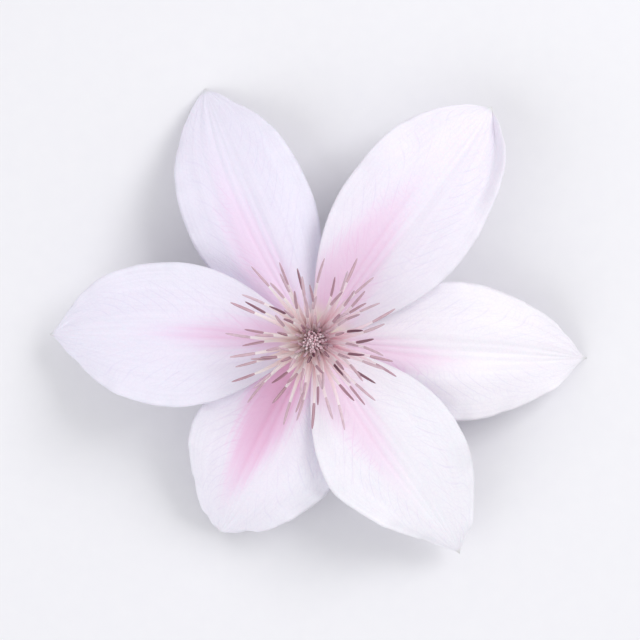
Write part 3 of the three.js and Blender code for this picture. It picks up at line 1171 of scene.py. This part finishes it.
@dataclass(kw_only=True)
class Stalk(Piece):
    """The stalk with the receptacle at its end: ribbed, downy, bent under the flower and cut off flat.

    Attributes:
        claw_height: The height of the outer whorl's claws above the surface.
        receptacle: Its swollen end.
        radius: Half its thickness.
        bearing: The direction that it runs in along the surface.
        bend: The radius of the bend that brings it down on to the surface.
        run: The length of the part that lies there.
        bow: How far the cut end lies to the side of a straight run.
        swell: The heights where it starts to widen into the receptacle and where it is widest.
        rim: The height where the receptacle's edge starts to round off.
        ribs: How many ribs it has.
        rib_height: Half their height, as a share of the radius.
        rib_turn: How far they wind round the stalk from one ring of its skin to the next, in radians.
        upright_steps, bend_steps, run_steps: How many steps its skin has in each of its three parts.
        sides: How many sides its skin has.
        hairs: How many hairs there would be, if those that reach into the surface weren't left out.
        hair_length: The shortest and the longest hair.
        hair_radius: A hair's radius at its foot and at its tip.
        hair_lean: How much a hair leans towards the cut end, from the least to the most.
    """

    claw_height: float
    receptacle: Receptacle
    radius: float = 1.1
    bearing: float = 303.0
    bend: float = 10.5
    run: float = 34.0
    bow: float = 4.0
    swell: tuple[float, float] = (-2.9, 0.3)
    rim: float = 1.2
    ribs: int = 6
    rib_height: float = 0.055
    rib_turn: float = 0.012
    upright_steps: int = 5
    bend_steps: int = 22
    run_steps: int = 30
    sides: int = 36
    hairs: int = 1500
    hair_length: tuple[float, float] = (0.35, 0.75)
    hair_radius: tuple[float, float] = (0.022, 0.006)
    hair_lean: tuple[float, float] = (-0.3, 0.7)

    def path(self) -> list[tuple[Vector, Vector]]:
        """Follows the stalk's middle from the top of the receptacle to the cut end.

        Returns:
            Points on it with the direction that it runs in.
        """
        ground = self.radius - self.claw_height
        out = polar(1.0, self.bearing, 0.0)
        start = Vector((0.0, 0.0, ground + self.bend))
        end = out * self.bend + Vector((0.0, 0.0, ground))
        down = Vector((0.0, 0.0, -1.0))
        below = self.receptacle.bottom - 0.3
        corner = Vector((0.0, 0.0, ground))
        cut = end + out * self.run + polar(self.bow, self.bearing + 90.0, 0.0)
        upright = [lerp(below, start.z, i / self.upright_steps) for i in range(self.upright_steps)]
        points = [(Vector((0.0, 0.0, z)), down) for z in (*self.receptacle.heights, *upright)]
        points += [bezier([start, corner, end], i / self.bend_steps) for i in range(self.bend_steps + 1)]
        lying = [end, end + out * (self.run / 2), cut]
        points += [bezier(lying, i / self.run_steps) for i in range(1, self.run_steps + 1)]
        return points

    def is_upright(self, ahead: Vector) -> bool:
        """Returns whether the stalk runs straight down there, as it does where it swells."""
        return ahead.z < -0.999

    def radius_at(self, height: float, upright: bool) -> float:
        """Works out the stalk's radius.

        Args:
            height: The height of the place.
            upright: Whether the stalk is upright there.

        Returns:
            The radius.
        """
        if not upright or height < self.swell[0]:
            return self.radius
        body = lerp(self.radius, self.receptacle.radius, smooth(height, *self.swell) ** 1.2)
        return body * (1.0 - 0.16 * smooth(height, self.rim, self.receptacle.top))

    def skin_ring(self, index: int, middle: Vector, ahead: Vector) -> tuple[Ring, list[float]]:
        """Works out one ring of the stalk's skin. The ribs fade out where it swells.

        Args:
            index: The ring's number, counted from the top.
            middle: The ring's middle.
            ahead: The direction that the stalk runs in there.

        Returns:
            The ring's points, and how much of a rib's crest each one has, from 0 to 1.
        """
        radius = self.radius_at(middle.z, self.is_upright(ahead))
        plain = smooth(radius, 1.15, 1.8)
        up = ahead.cross(polar(1.0, self.bearing + 90.0, 0.0)).normalized()
        across = up.cross(ahead)
        ring, crest = [], []
        for k in range(self.sides):
            angle = 2 * math.pi * k / self.sides
            wave = math.cos(self.ribs * angle + self.rib_turn * index)
            size = radius * (1.0 + self.rib_height * (1.0 - plain) * (wave - 1.0))
            ring.append(middle + across * (size * math.cos(angle)) + up * (size * math.sin(angle)))
            crest.append(smooth(wave, -0.2, 1.0) * (1.0 - plain))
        return ring, crest

    def build(self) -> list[bpy.types.Object]:
        """Builds the stalk and its down.

        Returns:
            The two objects.
        """
        mesh = bmesh.new()
        layers = {name: mesh.verts.layers.float.new(name) for name in ("rib", "swell", "radius")}
        path = self.path()
        rings, crests = zip(*(self.skin_ring(index, *place) for index, place in enumerate(path)))
        rows = skin_tubes(mesh, [rings], [0] * (len(rings) - 1))[0]
        for ring, crest, (middle, ahead) in zip(rows, crests, path):
            swell = smooth(middle.z, -3.5, -0.5) if self.is_upright(ahead) else 0.0
            for vertex, height in zip(ring, crest):
                vertex[layers["rib"]] = height
                vertex[layers["swell"]] = 0.7 * swell
                vertex[layers["radius"]] = 1.0
        self.cut_off(mesh, rows[-1], path[-1], layers["radius"])
        skin = StalkSkin(name="stalk skin", roughness=0.62, subsurface=0.15)
        cut_face = CutFace(name="cut end", roughness=0.4)
        stalk = self.hand_over("stalk", mesh, [skin, cut_face], Slot.GREEN, "peduncle")
        return [stalk, self.grow_down(path[len(self.receptacle.heights) :])]

    def cut_off(
        self,
        mesh: bmesh.types.BMesh,
        ring: list[bmesh.types.BMVert],
        end: tuple[Vector, Vector],
        layer: bmesh.types.BMLayerItem,
    ) -> None:
        """Finishes the cut end with rings of its own, a little dished.

        Args:
            mesh: The stalk's mesh.
            ring: The vertices round the cut end.
            end: The middle of the cut end and the direction that it faces in.
            layer: Where each vertex keeps its share of the radius.
        """
        cap = next(f for f in mesh.faces if len(f.verts) == self.sides and set(f.verts) == set(ring))
        middle, ahead = end
        steps = ((0.93, 0.0), (0.88, 0.05), (0.6, 0.09), (0.3, 0.05))  # share of the radius, depth
        for share, dish in steps:
            inner = bmesh.ops.inset_individual(mesh, faces=[cap], thickness=0.02, depth=0.0)["faces"]
            for vertex in cap.verts:
                spoke = vertex.co - middle
                spoke -= ahead * spoke.dot(ahead)
                vertex.co = middle + spoke.normalized() * (self.radius * share) - ahead * dish
                vertex[layer] = share
            for face in inner:
                face.material_index = 1
        cap.material_index = 1

    def grow_down(self, path: Sequence[tuple[Vector, Vector]]) -> bpy.types.Object:
        """Sets short hairs all over the stalk, leaning towards its cut end.

        Args:
            path: The stalk's middle, below the receptacle.

        Returns:
            The hairs' object.
        """
        mesh = bmesh.new()
        side = polar(1.0, self.bearing + 90.0, 0.0)
        for i in range(self.hairs):
            share = jitter(i, HairDraw.PLACE) * (len(path) - 1.001)
            first, ahead = path[int(share)]
            last, _ = path[int(share) + 1]
            angle = 2 * math.pi * jitter(i, HairDraw.SIDE)
            outwards = side * math.cos(angle) + ahead.cross(side) * math.sin(angle)
            length = lerp(*self.hair_length, jitter(i, HairDraw.LENGTH))
            lean = (outwards + ahead * lerp(*self.hair_lean, jitter(i, HairDraw.LEAN))).normalized()
            root = first.lerp(last, share % 1) + outwards * (self.radius * 0.9)
            if (root + lean * length).z < 0.02 - self.claw_height:
                continue
            turn = lean.to_track_quat("Z", "Y").to_matrix().to_4x4()
            matrix = Matrix.Translation(root + lean * (length / 2)) @ turn
            bmesh.ops.create_cone(
                mesh, segments=3, radius1=self.hair_radius[0], radius2=self.hair_radius[1], depth=length,
                matrix=matrix,
            )
        down = PlainFinish(
            name="down", roughness=0.7, sheen=0.3, grain=900.0,
            light=srgb(226, 230, 210), dim=srgb(196, 202, 172),
        )
        return self.hand_over("stalk_down", mesh, [down], Slot.GREEN)


@dataclass(frozen=True, kw_only=True)
class Stamen:
    """Where one stamen stands and how it bows, worked out from its number.

    Where a foot, a lean or an anther has a pair of numbers, the first is for the innermost stamen of its
    kind and the second for the outermost.

    Attributes:
        number: Its number, counted from the innermost.
        upright_count: How many of them stay upright.
        count: How many there are.
        seat: The height of its foot.
        bearing_stray: How far its bearing strays from an even spiral.
        upright_foot, spreading_foot: How far its foot is from the axis.
        upright_lean, spreading_lean: How far it leans outwards.
        upright_lean_stray, spreading_lean_stray: How far the lean strays from that.
        filament: The length of an upright one's filament and that of the outermost one's.
        least_reach: How much of their difference the innermost spreading one's filament has.
        anther: The length of its anther.
        filament_stray, anther_stray: How far the lengths stray from those.
        sway: How far its middle is bent aside.
        hook: How far its end is bent aside.
        end_rise: How much its end is raised, from the least to the most.
        upright_sway: The share of sway and hook that an upright one keeps.
        lean_at_foot, lean_at_end: The shares of its lean that its lower and upper halves have.
    """

    number: int
    upright_count: int
    count: int
    seat: float
    bearing_stray: float = 7.0
    upright_foot: float = 1.55
    spreading_foot: tuple[float, float] = (1.75, 2.1)
    upright_lean: tuple[float, float] = (6.5, 15.0)
    spreading_lean: tuple[float, float] = (19.0, 72.0)
    upright_lean_stray: float = 1.5
    spreading_lean_stray: float = 4.0
    filament: tuple[float, float] = (8.0, 13.4)
    least_reach: float = 0.3
    anther: tuple[float, float] = (4.4, 5.2)
    filament_stray: float = 0.8
    anther_stray: float = 0.4
    sway: float = 1.8
    hook: float = 1.8
    end_rise: tuple[float, float] = (-0.6, 2.0)
    upright_sway: float = 0.3
    lean_at_foot: float = 0.7
    lean_at_end: float = 1.22

    @property
    def upright(self) -> bool:
        """Whether it is one of the inner stamens, which stay upright round the styles."""
        return self.number < self.upright_count

    @property
    def rank(self) -> float:
        """Its place among its kind.

        Returns:
            The place, from 0 for the innermost to 1 for the outermost.
        """
        if self.upright:
            return self.number / self.upright_count
        return (self.number - self.upright_count) / (self.count - self.upright_count - 1)

    @property
    def bearing(self) -> float:
        """The direction that it stands in."""
        return self.number * GOLDEN_ANGLE + self.bearing_stray * self.stray(StamenDraw.BEARING)

    @property
    def lengths(self) -> tuple[float, float]:
        """Its lengths.

        Returns:
            The length of its filament and that of its anther.
        """
        reach = 0.0 if self.upright else lerp(self.least_reach, 1.0, self.rank)
        filament = lerp(*self.filament, reach) + self.filament_stray * self.stray(StamenDraw.FILAMENT_LENGTH)
        anther = lerp(*self.anther, self.rank) + self.anther_stray * self.stray(StamenDraw.ANTHER_LENGTH)
        return filament, anther

    def jitter(self, use: StamenDraw) -> float:
        """Returns the stamen's own random number from 0 to 1 for a use."""
        return jitter(self.number, use)

    def stray(self, use: StamenDraw) -> float:
        """Returns the stamen's own random number from -1 to 1 for a use."""
        return stray(self.number, use)

    def curve(self) -> list[Vector]:
        """Works out the stamen's bow.

        Returns:
            The curve's three control points.
        """
        lean = lerp(*(self.upright_lean if self.upright else self.spreading_lean), self.rank)
        lean_stray = self.upright_lean_stray if self.upright else self.spreading_lean_stray
        lean += lean_stray * self.stray(StamenDraw.LEAN)
        half = sum(self.lengths) / 2
        foot = math.radians(lean * self.lean_at_foot)
        last = math.radians(lean * self.lean_at_end)
        foot_radius = self.upright_foot if self.upright else lerp(*self.spreading_foot, self.rank)
        root = polar(foot_radius, self.bearing, self.seat)
        knee = root + polar(half * math.sin(foot), self.bearing, half * math.cos(foot))
        end = knee + polar(half * math.sin(last), self.bearing, half * math.cos(last))
        aside = polar(self.upright_sway if self.upright else 1.0, self.bearing + 90.0, 0.0)
        end += aside * (self.hook * self.stray(StamenDraw.HOOK))
        end.z += 0.0 if self.upright else lerp(*self.end_rise, self.jitter(StamenDraw.END_RISE))
        return [root, knee + aside * (self.sway * self.stray(StamenDraw.SWAY)), end]


@dataclass(frozen=True)
class Section:
    """One section of a stamen.

    Attributes:
        share: The share of the stamen's length where it lies.
        half_width, half_thickness: Half the stamen's width and thickness there.
        furrow: The share of the thickness that the furrow takes away.
    """

    share: float
    half_width: float
    half_thickness: float
    furrow: float


@dataclass(kw_only=True)
class StamenBrush(Piece):
    """The brush of stamens on its knob: flat filaments with long two-lobed anthers.

    Attributes:
        count: How many stamens there are.
        upright_count: How many of them stay upright round the styles.
        knob_radius, knob_base, knob_height: The knob's radius, where it starts and how far it rises.
        foot_rise: How far above the knob's start the stamens' feet are, sunk into it.
        filament_rings: Where a filament has its rings, as shares of its length.
        filament_half_width: Half a filament's width at its foot and at its end.
        filament_half_thickness: Half its thickness in the middle.
        anther_rings: Where an anther has its rings, and how wide and thick it is at each.
        anther_half_width, anther_half_thickness: Half the width and thickness that those are shares of.
        furrow: The share of an anther's thickness that is lost between its lobes.
        twist: The most that a stamen turns about itself, in degrees.
        sides: How many sides a stamen has.
    """

    count: int = 104
    upright_count: int = 20
    knob_radius: float = 2.5
    knob_base: float = 2.2
    knob_height: float = 1.5
    foot_rise: float = 0.6
    filament_rings: tuple[float, ...] = (0.0, 0.15, 0.4, 0.65, 0.85, 1.0)
    filament_half_width: tuple[float, float] = (0.52, 0.28)
    filament_half_thickness: float = 0.13
    anther_rings: tuple[tuple[float, float], ...] = (
        (0.02, 0.8), (0.1, 1.0), (0.35, 1.05), (0.6, 0.98), (0.82, 0.8), (0.95, 0.5), (1.0, 0.18),
    )
    anther_half_width: float = 0.3
    anther_half_thickness: float = 0.22
    furrow: float = 0.5
    twist: float = 55.0
    sides: int = 8

    def sections(self, joint: float) -> list[Section]:
        """Lists the sections of a stamen, first those of its filament and then those of its anther.

        Args:
            joint: The share of its length where the filament ends.

        Returns:
            The sections, from the foot to the tip.
        """
        foot, end = self.filament_half_width
        thin = self.filament_half_thickness
        filament = [
            Section(joint * k, lerp(foot, end, k**1.3), lerp(thin * 1.3, thin * 0.8, k), 0.0)
            for k in self.filament_rings
        ]
        wide, thick = self.anther_half_width, self.anther_half_thickness
        anther = [
            Section(lerp(joint, 1.0, k), wide * size, thick * size, self.furrow)
            for k, size in self.anther_rings
        ]
        return filament + anther

    def rings(self, stamen: Stamen) -> list[Ring]:
        """Works out the rings of one stamen.

        Args:
            stamen: The stamen.

        Returns:
            Its rings, from the foot to the tip.
        """
        filament, anther = stamen.lengths
        curve = stamen.curve()
        sideways = polar(1.0, stamen.bearing + 90.0, 0.0)
        twist = math.radians(self.twist * stamen.stray(StamenDraw.TWIST))
        rings = []
        for section in self.sections(filament / (filament + anther)):
            middle, ahead = bezier(curve, section.share)
            angle = twist * smooth(section.share, 0.2, 1.0)
            outwards = sideways.cross(ahead).normalized()
            level = ahead.cross(outwards)
            wide = level * math.cos(angle) + outwards * math.sin(angle)
            deep = outwards * math.cos(angle) - level * math.sin(angle)
            ring = []
            for k in range(self.sides):
                turn = 2 * math.pi * k / self.sides
                dip = 1.0 - section.furrow * math.exp(-((math.cos(turn) / 0.4) ** 2))
                across = wide * (section.half_width * math.cos(turn))
                ring.append(middle + across + deep * (section.half_thickness * math.sin(turn) * dip))
            rings.append(ring)
        return rings

    def mark(
        self,
        stamen: Stamen,
        row: Sequence[Sequence[bmesh.types.BMVert]],
        layers: dict[str, bmesh.types.BMLayerItem],
    ) -> None:
        """Marks a stamen's vertices with what its finishes read.

        The filaments are pinker towards the right of the flower and creamier towards its left, and the tones
        of the anthers are mixed, the inner ones darker.

        Args:
            stamen: The stamen.
            row: The vertices of its rings, from the foot to the tip.
            layers: Where they keep their share of the part's length, their tone and their furrow.
        """
        pinker = 0.5 + 0.5 * math.cos(math.radians(stamen.bearing - 10.0))
        darker = 0.22 if stamen.upright else 0.2 * (1.0 - stamen.rank)
        filament_tone = clamp(0.75 * pinker + 0.3 * stamen.jitter(StamenDraw.FILAMENT_TONE))
        anther_tone = clamp(darker + 0.85 * stamen.jitter(StamenDraw.ANTHER_TONE))
        opened = smooth(stamen.jitter(StamenDraw.OPENING), 0.3, 0.8)
        joint = len(self.filament_rings)
        for index, ring in enumerate(row):
            on_anther = index >= joint
            first, steps = (joint, len(self.anther_rings) - 1) if on_anther else (0, joint - 1)
            for k, vertex in enumerate(ring):
                vertex[layers["along"]] = (index - first) / steps
                vertex[layers["tone"]] = anther_tone if on_anther else filament_tone
                grooved = on_anther and k % (self.sides // 2) == self.sides // 4
                vertex[layers["furrow"]] = opened if grooved else 0.0

    def build(self) -> bpy.types.Object:
        """Builds all stamens and the knob that they stand on.

        Returns:
            The brush's object.
        """
        mesh = bmesh.new()
        layers = {name: mesh.verts.layers.float.new(name) for name in ("along", "tone", "furrow")}
        seat = self.knob_base + self.foot_rise
        shared = {"upright_count": self.upright_count, "count": self.count, "seat": seat}
        stamens = [Stamen(number=i, **shared) for i in range(self.count)]
        materials = [0] * (len(self.filament_rings) - 1) + [1] * len(self.anther_rings)
        rows = skin_tubes(mesh, [self.rings(s) for s in stamens], materials)
        for stamen, row in zip(stamens, rows):
            self.mark(stamen, row, layers)
        # The knob's outline, in shares of its radius and its height.
        outline = [(0, 1), (0.72, 0.98), (0.93, 0.72), (1, 0.4), (0.96, 0), (0.9, -0.2), (0, -0.2)]
        knob = [(self.knob_radius * r, self.knob_base + self.knob_height * z) for r, z in outline]
        spin_profile(mesh, knob, 32)
        filament = ThreadFinish(
            name="filament", roughness=0.5, subsurface=0.5, grain_share=0.1,
            foot=srgb(250, 214, 210), end=srgb(255, 250, 245), dark=srgb(242, 220, 226),
            other_foot=srgb(246, 202, 212), other_end=srgb(255, 236, 243),
        )
        anther = ThreadFinish(
            name="anther", roughness=0.7, subsurface=0.2, grain=5200.0, grain_share=0.15, relief=0.06,
            foot=srgb(236, 216, 224), end=srgb(220, 196, 208), dark=srgb(98, 58, 74), dusk_share=0.8,
            other_foot=srgb(194, 150, 164), other_end=srgb(162, 112, 130), seam_share=0.5,
        )
        return self.hand_over("stamen_brush", mesh, [filament, anther], Slot.STAMEN, "stamens")


@dataclass(kw_only=True)
class StyleTuft(Piece):
    """The tuft of silky styles on the seed cases in the middle of the brush.

    Attributes:
        count: How many styles there are.
        length: How far the middle one reaches above the base.
        shorter: How much less the outermost ones reach.
        length_stray: How far a style's length strays from that.
        turn_stray: How far a style's tip strays to the side of its foot.
        base: The height of the seed cases' foot.
        heart_radius: The radius of the silky heart that the styles stand on and round.
        tuft_radius: The radius of the tuft at the styles' tips.
        sides: How many sides a style has.
    """

    count: int = 64
    length: float = 9.5
    shorter: float = 1.6
    length_stray: float = 0.7
    turn_stray: float = 15.0
    base: float = 4.0
    heart_radius: float = 1.15
    tuft_radius: float = 2.3
    sides: int = 6

    def rings(self, number: int) -> list[Ring]:
        """Works out the rings of one style.

        Args:
            number: The style's number, counted from the middle.

        Returns:
            Its rings, from the foot to the tip.
        """
        rank = math.sqrt((number + 0.5) / self.count)
        bearing = number * GOLDEN_ANGLE
        length = self.length - self.shorter * rank + self.length_stray * stray(number, StyleDraw.LENGTH)
        turn = self.turn_stray * stray(number, StyleDraw.TURN)
        curve = [
            polar(self.heart_radius * 0.8 * rank, bearing, self.base + 0.4),
            polar(self.heart_radius * 0.9 * rank, bearing, self.base + 0.6 * length),
            polar(self.tuft_radius * rank, bearing + turn, self.base + length),
        ]
        # The share of its length and the radius of each ring: it widens at its foot and towards its end.
        shape = [
            (0.0, 0.3), (0.1, 0.28), (0.22, 0.2), (0.45, 0.18),
            (0.7, 0.2), (0.88, 0.25), (0.96, 0.22), (1.0, 0.1),
        ]
        rings = []
        for share, radius in shape:
            middle, ahead = bezier(curve, share)
            side = ahead.cross(Vector((math.sin(number), math.cos(number), 0.2))).normalized()
            up = side.cross(ahead)
            angles = [2 * math.pi * k / self.sides for k in range(self.sides)]
            rings.append([middle + (side * math.cos(a) + up * math.sin(a)) * radius for a in angles])
        return rings

    def build(self) -> bpy.types.Object:
        """Builds the styles and the silky heart of the tuft, with the seed cases at its foot.

        Returns:
            The tuft's object.
        """
        mesh = bmesh.new()
        layers = {name: mesh.verts.layers.float.new(name) for name in ("along", "tone")}
        tubes = [self.rings(i) for i in range(self.count)]
        last = len(tubes[0]) - 1
        for number, row in enumerate(skin_tubes(mesh, tubes, [0] * last)):
            for index, ring in enumerate(row):
                for vertex in ring:
                    vertex[layers["along"]] = index / last
                    vertex[layers["tone"]] = 0.7 * jitter(number, StyleDraw.TONE)
        # The heart's outline: shares of its radius, and heights above its base.
        outline = [
            (0, 8.1), (0.55, 7.9), (1, 7.3), (1.25, 6.2), (1.2, 4.5), (1.05, 3), (1, 0.6), (1, 0), (0, 0),
        ]
        heart = [(self.heart_radius * radius, self.base + height) for radius, height in outline]
        spin_profile(mesh, heart, 24)
        silk = ThreadFinish(
            name="silk", roughness=0.45, subsurface=0.6, sheen=0.3, grain=3200.0,
            foot=srgb(254, 234, 236), end=srgb(255, 236, 240), dark=srgb(222, 162, 178),
            other_foot=srgb(250, 212, 222), other_end=srgb(242, 188, 202),
        )
        return self.hand_over("style_tuft", mesh, [silk], Slot.STYLE, "styles")


@dataclass(kw_only=True)
class Flower:
    """The whole flower, and the sizes that its pieces share.

    Attributes:
        claw_height: The height of the outer whorl's claws above the surface.
        receptacle: The swollen end of the stalk.
        pieces: The objects that have been built.
    """

    claw_height: float = 14.0
    receptacle: Receptacle = field(default_factory=Receptacle)
    pieces: list[bpy.types.Object] = field(default_factory=list)

    def tepals(self, axis: Vector) -> list[Tepal]:
        """Lists the six tepals, counter-clockwise from the one on the right.

        Args:
            axis: The point on the flower's axis that they are placed about.

        Returns:
            The tepals with their sizes, bars and tints.
        """
        outer, inner = Whorl.OUTER, Whorl.INNER
        shared = {"axis": axis, "claw_height": self.claw_height}
        # The tints carry painted light: the right-hand tepals are painted lighter and the left-hand ones
        # darker.
        return [
            Tepal(
                **shared, number=1, bearing=-3.7, reach=57.3,
                left=Margin(widest=14.0, full=1.9), right=Margin(widest=14.4, full=1.9),
                sway=0.0, knee=0.72, crown=3.0, tip=0.23, ruffle=0.7, whorl=outer, point=0.45,
                bar=Bar(strength=0.42, heart=0.14, length=0.62, half_width=6.0, aside=-2.2),
                tint=(251, 246, 254),
            ),
            Tepal(
                **shared, number=2, bearing=52.7, reach=60.5,
                left=Margin(widest=13.9, full=2.9), right=Margin(widest=14.3, full=3.0),
                sway=0.6, knee=0.72, crown=3.4, tip=9.0, ruffle=1.0, whorl=inner, point=0.1, roll=2.2,
                bar=Bar(strength=0.53, heart=0.13, length=0.74, half_width=7.8, aside=2.8),
                tint=(246, 241, 253),
            ),
            Tepal(
                **shared, number=3, bearing=113.3, reach=57.4,
                left=Margin(widest=13.3, full=2.4), right=Margin(widest=13.2, full=2.6),
                sway=2.0, knee=0.72, crown=2.8, tip=0.23, ruffle=0.6, whorl=outer, point=0.05,
                bar=Bar(strength=0.38, heart=0.1, length=0.88, half_width=6.2, aside=2.8),
                tint=(242, 238, 254),
            ),
            Tepal(
                **shared, number=4, bearing=178.6, reach=54.6,
                left=Margin(widest=14.3, full=1.9), right=Margin(widest=15.0, full=2.3),
                sway=-0.4, knee=0.72, crown=3.2, tip=6.0, ruffle=0.8, whorl=inner, point=0.4,
                bar=Bar(strength=0.42, heart=0.3, length=0.74, half_width=5.0, aside=-0.7),
                tint=(244, 240, 255),
            ),
            Tepal(
                **shared, number=5, bearing=244.1, reach=44.6,
                left=Margin(widest=16.2, full=1.5), right=Margin(widest=15.3, full=1.6),
                sway=0.3, knee=0.86, crown=3.4, tip=0.13, ruffle=0.7, whorl=outer, point=0.0,
                bar=Bar(strength=0.9, heart=0.4, length=0.92, half_width=7.2, aside=-2.2),
                tint=(248, 244, 255),
            ),
            Tepal(
                **shared, number=6, bearing=304.5, reach=53.5,
                left=Margin(widest=14.2, full=2.1), right=Margin(widest=14.6, full=1.25),
                sway=0.6, knee=0.72, crown=2.6, tip=5.0, ruffle=0.9, whorl=inner, point=0.3,
                bar=Bar(strength=0.38, heart=0.16, length=0.8, half_width=6.4, aside=-2.4),
                tint=(250, 247, 255),
            ),
        ]

    def build(self) -> None:
        """Builds the flower from its stalk upwards."""
        axis = self.receptacle.find_axis()
        self.pieces += Stalk(axis=axis, claw_height=self.claw_height, receptacle=self.receptacle).build()
        self.pieces += [tepal.build() for tepal in self.tepals(axis)]
        self.pieces.append(StamenBrush(axis=axis).build())
        self.pieces.append(StyleTuft(axis=axis).build())


@dataclass(frozen=True, kw_only=True)
class SoftBox:
    """One soft light.

    Attributes:
        name: Its name.
        place: Where it hangs, in metres.
        size: How wide it is, in metres.
        power: Its power, in watts.
        colour: Its colour.
    """

    name: str
    place: tuple[float, float, float]
    size: float
    power: float
    colour: tuple[float, float, float] = (1.0, 1.0, 1.0)

    def build(self) -> None:
        """Hangs the light so that it shines on the flower."""
        light = bpy.data.lights.new(self.name, "AREA")
        light.shape = "SQUARE"
        light.size = self.size
        light.energy = self.power
        light.color = self.colour
        made = bpy.data.objects.new(self.name, light)
        made.location = self.place
        made.rotation_euler = (-Vector(self.place)).to_track_quat("-Z", "Y").to_euler()
        bpy.context.scene.collection.objects.link(made)


@dataclass(frozen=True, kw_only=True)
class Studio:
    """A pale floor, soft lights, and a camera that looks down into the flower's face.

    Attributes:
        floor_half_width: Half the floor's width, in metres.
        lens: The camera's focal length, in millimetres.
        frame_width: How wide the picture is at the flower, in metres.
        look_at: The middle of the picture, in metres.
        world_light: How bright the light from all round is.
    """

    floor_half_width: float = 12.0
    lens: float = 135.0
    frame_width: float = 0.13
    look_at: tuple[float, float, float] = (0.0, 0.0, 0.016)
    world_light: float = 0.6

    def build(self) -> None:
        """Builds the floor, the lights and the camera."""
        self.floor()
        self.lights()
        self.world()
        self.camera()

    def floor(self) -> None:
        """Lays the floor."""
        mesh = bmesh.new()
        bmesh.ops.create_grid(mesh, x_segments=1, y_segments=1, size=self.floor_half_width)
        data = bpy.data.meshes.new("floor")
        mesh.to_mesh(data)
        mesh.free()
        paper = PlainFinish(
            name="floor", roughness=0.9, specular=0.1, grain=300.0,
            light=srgb(244, 244, 246), dim=srgb(241, 241, 244),
        )
        data.materials.append(paper.build())
        floor = bpy.data.objects.new("floor", data)
        bpy.context.scene.collection.objects.link(floor)

    def lights(self) -> None:
        """Hangs a key light on the right, and a larger and cooler one opposite."""
        key = SoftBox(name="key", place=(0.48, 0.34, 0.56), size=0.42, power=2.8, colour=(1.0, 0.985, 1.0))
        fill = SoftBox(name="fill", place=(-0.5, -0.4, 0.5), size=0.8, power=2.4, colour=(0.955, 0.955, 1.0))
        key.build()
        fill.build()

    def world(self) -> None:
        """Sets the light from all round, and how the picture's colours are shown."""
        world = bpy.data.worlds.new("studio")
        world.use_nodes = True
        background = world.node_tree.nodes["Background"]
        background.inputs["Color"].default_value = (0.98, 0.98, 1.0, 1.0)
        background.inputs["Strength"].default_value = self.world_light
        bpy.context.scene.world = world
        bpy.context.scene.view_settings.view_transform = "Standard"

    def camera(self) -> None:
        """Sets the camera above the flower, square to its face."""
        data = bpy.data.cameras.new("camera")
        data.lens = self.lens
        distance = self.frame_width * self.lens / data.sensor_width
        made = bpy.data.objects.new("camera", data)
        made.location = Vector(self.look_at) + Vector((0.0, 0.0, distance))
        bpy.context.scene.collection.objects.link(made)
        bpy.context.scene.camera = made


def write_sizes() -> None:
    """Updates the view layer."""
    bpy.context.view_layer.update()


def main() -> None:
    """Builds the flower and the studio round it."""
    logging.basicConfig(level=logging.INFO, format="%(message)s")
    flower = Flower()
    flower.build()
    Studio().build()
    LOG.info("%d pieces", len(flower.pieces))
    write_sizes()


if __name__ == "__main__":
    main()
